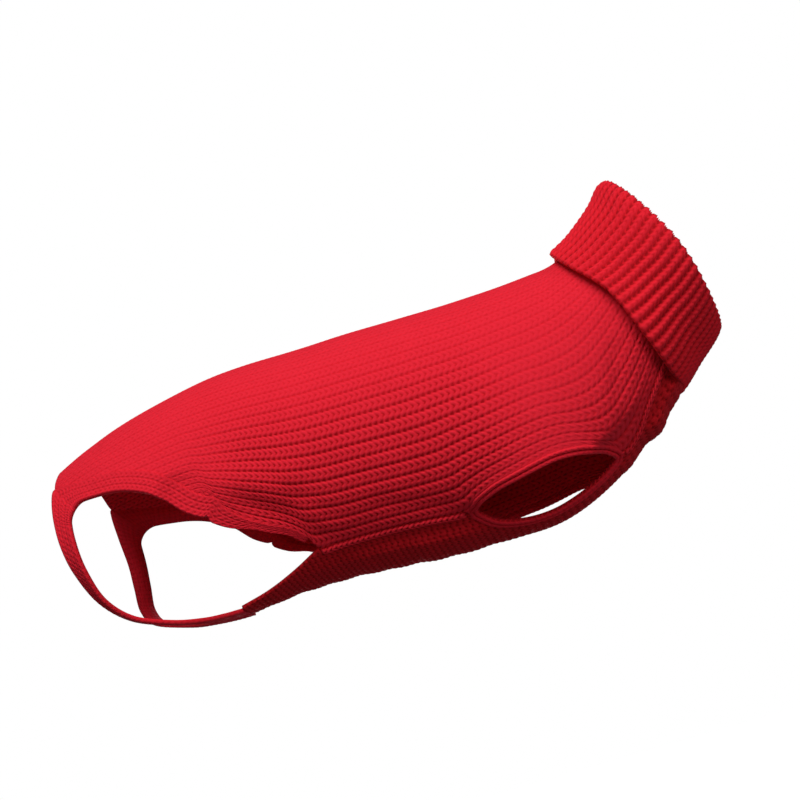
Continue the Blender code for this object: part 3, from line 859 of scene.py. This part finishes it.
def armhole_band(name, side):
    """A closed ring: the upper edge from the back panel, the lower from the belly panel, stitched all
    round."""
    upper = np.linspace(ARMHOLE_START_COURSE, ARMHOLE_END_COURSE, 401)
    lower = np.linspace(len(BELLY_ARMHOLE["edge_x"]) - 1, 0, 401)[1:-1]
    edge_along, edge_turn = belly_edge()
    first = len(BELLY_TAPER["edge_x"]) + ARMHOLE_START_COURSE - JUNCTION_COURSE
    along = np.concatenate([through(COURSES["edge_x"], upper), through(edge_along, lower + first)])
    turn = np.concatenate([through(COURSES["edge_turn"], upper), through(edge_turn, lower + first)])
    walked = walked_along(trunk(np.append(along, along[0]), side * np.append(turn, turn[0])))
    stitches = round(walked[-1] / ARMHOLE_STITCH)
    at = np.linspace(0, walked[-1], stitches * ROWS_PER_STITCH + 1)
    along, turn = (np.interp(at, walked, np.append(values, values[0])) for values in (along, turn))
    edge = on_trunk(along, side * turn, np.zeros(along.shape))
    face = trunk_outward(along, side * turn)
    across = -side * across_strip(edge[:-1], face[:-1], closed=True)
    across = eased_round(across, ARMHOLE_EASED_ROWS, closed=True)
    across = np.vstack([across, across[:1]])
    rib = columns_for(2, ARMHOLE_BAND_COLUMNS)
    stitch = np.linspace(0, stitches, len(at))[:, None]
    away = from_middle(rib)
    slanted = stitch - ARMHOLE_SLANT * away
    rise = ARMHOLE_RIB_RISE * (1 - away**2.2) - ARMHOLE_FURROW * away**8
    rise = rise + ARMHOLE_LEG * (np.abs(np.sin(np.pi * slanted)) - 0.6)
    rise = np.where((rib == 0) | (rib == 2), -EDGE_TURNED_IN, rise)
    reach = (ARMHOLE_BAND_WIDTH + LAP) * rib / 2 - LAP
    middle = edge[:, None] + across[:, None] * reach[:, None]
    outside = middle + face[:, None] * (WALL + rise)[..., None]
    ends = [0, -1]
    inside = middle[:, ends] + face[:, None] * ARMHOLE_INSIDE
    outer, inner = (outside, places_of(rib, slanted), None), (inside, places_of(rib[ends], stitch), None)
    return cloth(name, outer, inner, closed_along=True)


armhole_edging = knit("armhole_edging_knit", RED_LIT_CREST, RED_SHADED_SIDE, RED_FURROW_SHADOW, leg_contrast=0.4)
for node, side in (("armhole_band_right", 1), ("armhole_band_left", -1)):
    band = armhole_band(node + "_knit", side)
    band.data.materials.append(armhole_edging)
    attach(band, "root")
    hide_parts(node)

# ------------------------------------------------------------
# Leg bands. The ribbed border round each hind leg. Its ribs run along the opening; it is knitted onto the cut
# edge over the thigh, hangs free behind the thigh, where it loops under the rump, and ends on the belly
# panel.
# ------------------------------------------------------------
TAIL_CORNER_SHARE = 0.42
LEG_BAND_FREE = table(
    "x y z face_x face_y face_z width",
    (-174, -41, -46, -0.35, -0.92, 0.15, 12),
    (-174, -45, -60, -0.35, -0.93, 0.00, 12),
    (-172, -47, -78, -0.40, -0.90, -0.15, 11),
    (-169, -42, -95, -0.55, -0.75, -0.35, 10),
    (-163, -30, -113, -0.65, -0.45, -0.60, 9),
    (-151, -17, -126, -0.50, -0.20, -0.85, 9),
    (-130, -9, -134, -0.20, 0.00, -0.98, 9),
    (-112, -3, -138, -0.05, 0.00, -1.00, 10),
    (-98, -0.4, -139.4, 0.00, 0.00, -1.00, 12),
)
# The band is narrow where it starts and widens between two x; round the tail corner it is wider still.
LEG_BAND_WIDTH = 12.0
LEG_BAND_START_WIDTH = 4.0
LEG_BAND_WIDENS_OVER = (-60, -80)
LEG_BAND_CORNER_EXTRA = 9.0
LEG_BAND_CORNER_REACH = 16.0
LEG_BAND_RIBS = 3
LEG_BAND_STITCH = 3.6
# How far before and after the tail corner the opening is rounded.
LEG_BAND_ROUNDED = (26.0, 30.0)
LEG_BAND_EASED_ROWS = 10
LEG_BAND_RELIEF = dict(rise=0.4, leg=0.5, furrow=0.25, dent=0.3)
LEG_BAND_UNEVEN = 0.1
LEG_BAND_SLANT = 0.6
# How high the band's lapped edge stands over its wall, and how far its inside stands off the limb.
LEG_BAND_LAP_RISE = 0.3
LEG_BAND_INSIDE = 0.1


def leg_band_path(side):
    """Rows for a leg band, drawn on the right, from the thigh round the tail corner to the belly: its
    body-side edge, the way its outside faces, its width, the number of its stitches and the corner's row."""
    shares = np.linspace(1, TAIL_CORNER_SHARE, 160)
    thigh_along, thigh_turn = back_place(shares, last_stitch(shares))
    before = np.linspace(JUNCTION_COURSE - 1, EDGE_START_COURSE, 120)[:-1]
    along = np.concatenate([through(COURSES["edge_x"], before), thigh_along])
    turn = np.concatenate([through(COURSES["edge_turn"], before), thigh_turn])
    narrow, wide = LEG_BAND_WIDENS_OVER
    growth = smooth((narrow - along) / (narrow - wide))
    width = LEG_BAND_START_WIDTH + (LEG_BAND_WIDTH - LEG_BAND_START_WIDTH) * growth
    face = trunk_outward(along, turn)
    at_panel = on_trunk(along, side * turn, np.zeros(along.shape)) * np.array([1, side, 1])
    cut = np.hstack([at_panel, face, width[:, None]])
    end_along = BELLY_TAPER["edge_x"][:1] - SEAM_GAP
    end_turn = 1 - 0.5 * SEAM_GAP / turn_width(end_along, 1.0)
    end = np.hstack([trunk(end_along, end_turn), np.array([[0.0, 0.0, -1.0, LEG_BAND_WIDTH]])])
    loose = np.stack(list(LEG_BAND_FREE.values()), axis=1)
    rows_before_corner = 12
    guide = np.vstack([cut[-1 - rows_before_corner], cut[-1], loose, end])
    last = len(guide) - 1
    rows = np.linspace(1, last, (last - 1) * 24 + 1)[1:]
    free = np.stack([through(column, rows) for column in guide.T], axis=1)
    path = np.vstack([cut, free])
    from_corner = np.linalg.norm(path[:, :3] - cut[-1, :3], axis=1) / LEG_BAND_CORNER_REACH
    path[:, 6] += LEG_BAND_CORNER_EXTRA * np.exp(-(from_corner**2))
    walked = walked_along(path[:, :3])
    walked_to_corner = walked[len(cut) - 1]
    stitches = round(walked[-1] / LEG_BAND_STITCH)
    at = np.linspace(0, walked[-1], stitches * ROWS_PER_STITCH + 1)
    path = np.stack([np.interp(at, walked, column) for column in path.T], axis=1)
    corner = np.interp(walked_to_corner, at, np.arange(len(at)))
    return path[:, :3], unit(path[:, 3:6]), path[:, 6], stitches, corner


def rounded_opening(edge, across, width, corner):
    """The band's edge at the opening: as far from the other edge as the band is wide, but round the tail
    corner a cubic curve that goes from its place and direction before the corner to those after it."""
    opening = edge + across * width[:, None]
    rows_per_mm = ROWS_PER_STITCH / LEG_BAND_STITCH
    first, last = (int(corner + way * reach * rows_per_mm) for way, reach in zip((-1, 1), LEG_BAND_ROUNDED))
    part = np.linspace(0, 1, last - first + 1)[:, None]
    chord = np.linalg.norm(opening[last] - opening[first])
    out = unit(opening[first] - opening[first - 1]) * chord
    into = unit(opening[last + 1] - opening[last]) * chord
    opening[first : last + 1] = cubic(opening[first], opening[last], out, into, part)
    return opening


def leg_band(name, side):
    """A strip from the band's edge to the opening, with three ribs along it and a plain inside."""
    edge, face, width, stitches, corner = leg_band_path(side)
    across = eased_round(across_strip(edge, face), LEG_BAND_EASED_ROWS)
    opening = rounded_opening(edge, across, width, corner)
    rib = columns_for(LEG_BAND_RIBS, RIB_COLUMNS)
    stitch = np.linspace(0, stitches, len(edge))[:, None]
    share = ((width[:, None] + LAP) * rib / LEG_BAND_RIBS - LAP) / width[:, None]
    slanted = stitch - LEG_BAND_SLANT * from_middle(rib)
    rise = relief(rib, slanted, **LEG_BAND_RELIEF) + LEG_BAND_UNEVEN * uneven(rib, stitch)
    rise = np.where(rib == 0, LEG_BAND_LAP_RISE, np.where(rib == LEG_BAND_RIBS, -EDGE_TURNED_IN, rise))
    middle = edge[:, None] + (opening - edge)[:, None] * share[..., None]
    mirror = np.array([1, side, 1])
    outside = (middle + face[:, None] * (WALL + rise)[..., None]) * mirror
    ends = [0, -1]
    inside = (middle[:, ends] + face[:, None] * LEG_BAND_INSIDE) * mirror
    return cloth(name, (outside, places_of(rib, slanted), None), (inside, places_of(rib[ends], stitch), None))


leg_edging = knit("leg_band_knit", RED_LIT_CREST, RED_SHADED_SIDE, RED_FURROW_SHADOW, leg_contrast=0.6, rib_contrast=0.5)
for node, side in (("leg_band_right", 1), ("leg_band_left", -1)):
    band = leg_band(node + "_knit", side)
    band.data.materials.append(leg_edging)
    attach(band, "root")
    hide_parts(node)

# ------------------------------------------------------------
# Collar. A deep roll collar of narrow ribs, knitted on at the neck. Its inner layer stands up round the neck,
# and its outer layer is turned down over it, with a wavy hem.
# ------------------------------------------------------------
# Rings of the collar from the neck seam over the fold to the hem: centre, radius, how the ring leans back,
# how far its ribs have slipped to the throat at the side, both in degrees, and its share of the hem's dips.
COLLAR = table(
    "centre_x centre_z radius lean slip dip",
    (190.9, -34.9, 47.2, 22.4, 0, 0),
    (201.5, -26.8, 49.1, 22.6, 2, 0),
    (211, -17.7, 51.4, 21.1, 4, 0),
    (215.9, -12.9, 53.5, 20, 5, 0),
    (217, -11.7, 55.2, 19.7, 5, 0),
    (213.6, -14.6, 56.1, 20, 5, 0.1),
    (207.3, -21.2, 54.6, 21, 4, 0.3),
    (198.8, -28, 53.6, 22.5, 2, 0.6),
    (190.2, -34.4, 53.4, 24, 0, 0.85),
    (181, -39.8, 54.2, 25.5, -2, 1),
)
# How far back the hem reaches, by the angle from the spine, and how its dips slant, at the spine and throat.
HEM_DIPS = table(
    "degrees back",
    (0, 0),
    (30, 5),
    (60, 5),
    (90, 1),
    (120, 4),
    (150, 6),
    (180, 2),
)
HEM_DIP_SLANT = (16, 50)
COLLAR_RIBS = 56
COLLAR_STITCHES = 25
# How far the fold bows forward at both sides, and the hem stands off beside the throat: where and how widely.
FOLD_BOW, BOW_RING, BOW_RINGS, BOW_DEGREES, BOW_WIDTH = 3.6, 4.2, 1.8, 98, 38
HEM_FLARE, FLARE_STITCHES, FLARE_DEGREES, FLARE_WIDTH = 4.2, 8, 48, 34
COLLAR_COLUMNS = np.array([0, 0.16, 0.34, 0.5, 0.66, 0.84])
COLLAR_RIB_RISE = 1.4
COLLAR_BEAD = 0.45
COLLAR_UNEVEN = 0.12
COLLAR_SUNK = 0.25
# The ring of the fold, and how much lower the ribs are where they are bent over it.
COLLAR_FOLD_RING = 4.0
LOWER_ON_FOLD = 0.45
# The collar's reds paint light and shade: a lit crest, a shaded side and a painted furrow shadow, which its
# material spreads wide over most of each rib's sides.
COLLAR_LIT_CREST = (0.84, 0.016, 0.032)
COLLAR_SHADED_SIDE = (0.70, 0.009, 0.018)
COLLAR_FURROW_SHADOW = (0.42, 0.004, 0.008)


def collar_middle(row, angle):
    """Points in the middle of the collar's cloth: leaning rings, each moved back by its share of the hem's
    dips. The fold bows forward at both sides. angle is 0 at the spine and pi at the throat."""
    centre_x, centre_z, radius, lean, slip, dip = (through(column, row) for column in COLLAR.values())
    lean, slip = np.radians(lean), np.radians(slip)
    turned = angle + slip * np.sin(angle)
    up, side = radius * np.cos(turned), radius * np.sin(turned)
    from_spine = np.degrees(np.arccos(np.clip(np.cos(angle), -1, 1)))
    back_by = dip * through(HEM_DIPS["back"], row_of(HEM_DIPS["degrees"], from_spine))
    slant_at_spine, slant_at_throat = np.radians(HEM_DIP_SLANT)
    slant = slant_at_spine + (slant_at_throat - slant_at_spine) * 0.5 * (1 - np.cos(angle))
    bow = FOLD_BOW * np.exp(-(((row - BOW_RING) / BOW_RINGS) ** 2))
    bow = bow * np.exp(-(((from_spine - BOW_DEGREES) / BOW_WIDTH) ** 2))
    x = centre_x - up * np.sin(lean) - back_by * np.cos(slant) + bow
    z = centre_z + up * np.cos(lean) - back_by * np.sin(slant)
    return np.stack([x, -side, z], axis=-1)


def collar_rows(stitch):
    """Ring numbers for numbers of stitches from the neck seam, evenly spaced along the cloth at the side."""
    last = len(COLLAR["lean"]) - 1
    rings = np.linspace(0, last, 400)
    path = collar_middle(rings, np.full(rings.shape, 0.5 * np.pi))
    walked = walked_along(path)
    return np.interp(stitch * walked[-1] / COLLAR_STITCHES, walked, rings)


def collar_side(row, angle, height):
    """Points beside the middle of the cloth: along its normal, to the ribbed side, by a height."""
    last = len(COLLAR["lean"]) - 1
    step = 0.01
    before, after = np.clip(row - step, 0, last), np.clip(row + step, 0, last)
    along = collar_middle(after, angle) - collar_middle(before, angle)
    around = collar_middle(row, angle + step) - collar_middle(row, angle - step)
    return collar_middle(row, angle) + unit(np.cross(along, around)) * height[..., None]


def hem_flare(stitch, angle):
    """How far the hem stands off the chest: most of all beside the throat, over the last stitches."""
    beside_throat = np.exp(-(((np.abs(np.degrees(angle) - 180) - FLARE_DEGREES) / FLARE_WIDTH) ** 2))
    return HEM_FLARE * smooth((stitch - COLLAR_STITCHES + FLARE_STITCHES) / FLARE_STITCHES) * beside_throat


def collar():
    """Rings of stitches from the neck seam, over the fold, to the hem. Outside, the ribs are cosine waves,
    beaded by their stitches; the inside is plain."""
    rib = columns_for(COLLAR_RIBS, COLLAR_COLUMNS)
    stitch = np.linspace(0, COLLAR_STITCHES, COLLAR_STITCHES * ROWS_PER_STITCH + 1)[:, None]
    wander = uneven(rib, stitch) * smooth(stitch / 4)
    lead = v_lead(rib) * smooth(stitch / 2) * smooth((COLLAR_STITCHES - stitch) / 1.5)
    row = collar_rows(np.clip(stitch + lead, 0, COLLAR_STITCHES))
    angle = np.broadcast_to(2 * np.pi * rib / COLLAR_RIBS, row.shape)
    hem = smooth(COLLAR_STITCHES - stitch + 0.3)
    ridge = 0.5 + 0.5 * np.cos(np.pi * from_middle(rib))
    beads = COLLAR_BEAD * (np.abs(np.sin(np.pi * stitch)) - 0.6) * ridge
    over_fold = 1 - LOWER_ON_FOLD * np.exp(-(((row - COLLAR_FOLD_RING) / 1.5) ** 2))
    rise = COLLAR_RIB_RISE * ridge * over_fold + beads + COLLAR_UNEVEN * wander
    rise = rise * smooth(stitch / 4) * hem
    outside = collar_side(row, angle, 0.5 * WALL - COLLAR_SUNK + rise + hem_flare(stitch, angle))
    plain_rib = columns_for(COLLAR_RIBS // 2, np.array([0])) * 2
    row = collar_rows(np.broadcast_to(stitch, (len(stitch), len(plain_rib))))
    angle = np.broadcast_to(2 * np.pi * plain_rib / COLLAR_RIBS, row.shape)
    inside = collar_side(row, angle, hem_flare(stitch, angle) - 0.5 * WALL)
    outer, inner = (outside, places_of(rib, stitch), None), (inside, places_of(plain_rib, stitch), None)
    return cloth("collar_knit", outer, inner, closed_around=True)


neck_collar = collar()
neck_collar.data.materials.append(
    knit("collar_rib_knit", COLLAR_LIT_CREST, COLLAR_SHADED_SIDE, COLLAR_FURROW_SHADOW, leg_contrast=0.55, furrow_width=0.8)
)
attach(neck_collar, "root")
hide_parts("collar")

# ------------------------------------------------------------
# The studio: a white floor well below the garment, a large soft light above its right side, a weaker one on
# its left and the weakest before its head, and a camera at its right side, a little below it and turned so
# that the head end rises.
# ------------------------------------------------------------
FLOOR_Z = -0.35
bpy.ops.mesh.primitive_plane_add(size=16, location=(0, 0, FLOOR_Z))
floor = bpy.context.object
floor.name = "floor"
paint = bpy.data.materials.new("floor_white")
paint.use_nodes = True
for socket, value in (
    ("Base Color", (0.86, 0.86, 0.86, 1)),
    ("Roughness", 0.9),
    ("Emission Color", (1, 1, 1, 1)),
    ("Emission Strength", 0.95),
):
    paint.node_tree.nodes["Principled BSDF"].inputs[socket].default_value = value
floor.data.materials.append(paint)
floor.visible_diffuse = False
floor.visible_glossy = False

# The middle of the garment, which the lights face.
MIDDLE = Vector((0.01, 0.0, -0.07))


def soft_light(name, place, size, power):
    """A square area light that faces the garment. Lights, camera and studio are in metres."""
    lamp = bpy.data.lights.new(name, "AREA")
    lamp.size = size
    lamp.energy = power
    lit = bpy.data.objects.new(name, lamp)
    lit.location = place
    lit.rotation_euler = (MIDDLE - lit.location).to_track_quat("-Z", "Y").to_euler()
    bpy.context.scene.collection.objects.link(lit)


soft_light("key_light", Vector((-0.02, -1.10, 0.95)), 0.8, 17.6)
soft_light("head_side_light", Vector((0.95, -1.10, 0.12)), 0.7, 3.8)
soft_light("left_side_light", Vector((-0.30, 1.30, 0.05)), 0.9, 12.0)

world = bpy.data.worlds.new("studio_white")
world.use_nodes = True
nodes, links = world.node_tree.nodes, world.node_tree.links
seen = nodes["Background"]
seen.inputs["Color"].default_value = (1, 1, 1, 1)
seen.inputs["Strength"].default_value = 1.0
# The camera sees white. The garment is lit by a glow that is a little stronger from below.
GLOW_BY_HEIGHT = (-0.6, 0.9, 0.16, 0.145)
glow = nodes.new("ShaderNodeBackground")
height = nodes.new("ShaderNodeSeparateXYZ")
links.new(nodes.new("ShaderNodeTexCoord").outputs["Generated"], height.inputs[0])
fall = nodes.new("ShaderNodeMapRange")
for socket, value in zip(fall.inputs[1:5], GLOW_BY_HEIGHT):
    socket.default_value = value
links.new(height.outputs["Z"], fall.inputs[0])
links.new(fall.outputs[0], glow.inputs["Strength"])
chosen = nodes.new("ShaderNodeMixShader")
links.new(nodes.new("ShaderNodeLightPath").outputs["Is Camera Ray"], chosen.inputs[0])
links.new(glow.outputs[0], chosen.inputs[1])
links.new(seen.outputs[0], chosen.inputs[2])
links.new(chosen.outputs[0], nodes["World Output"].inputs["Surface"])
bpy.context.scene.world = world
bpy.context.scene.view_settings.view_transform = "Standard"

# Where the camera looks from, the point that it aims at and from how far, and its lens and sensor.
CAMERA_ANGLES = (8.6, -16.3, 16.3)
AIM = np.array([0.0404, 0.0, -0.0446])
DISTANCE = 0.83
LENS = 60.75
SENSOR = 36
azimuth, elevation, roll = np.radians(CAMERA_ANGLES)
behind = np.array([
    np.sin(azimuth) * np.cos(elevation),
    -np.cos(azimuth) * np.cos(elevation),
    np.sin(elevation),
])
right = np.array([np.cos(azimuth), np.sin(azimuth), 0])
up = np.cross(behind, right)
across = right * np.cos(roll) - up * np.sin(roll)
upward = right * np.sin(roll) + up * np.cos(roll)
camera = bpy.data.objects.new("camera", bpy.data.cameras.new("camera"))
camera.data.lens = LENS
camera.data.sensor_width = SENSOR
camera.data.clip_start = 0.05
turned = Matrix([across, upward, behind]).transposed().to_4x4()
camera.matrix_world = Matrix.Translation(AIM + DISTANCE * behind) @ turned
bpy.context.scene.collection.objects.link(camera)
bpy.context.scene.camera = camera
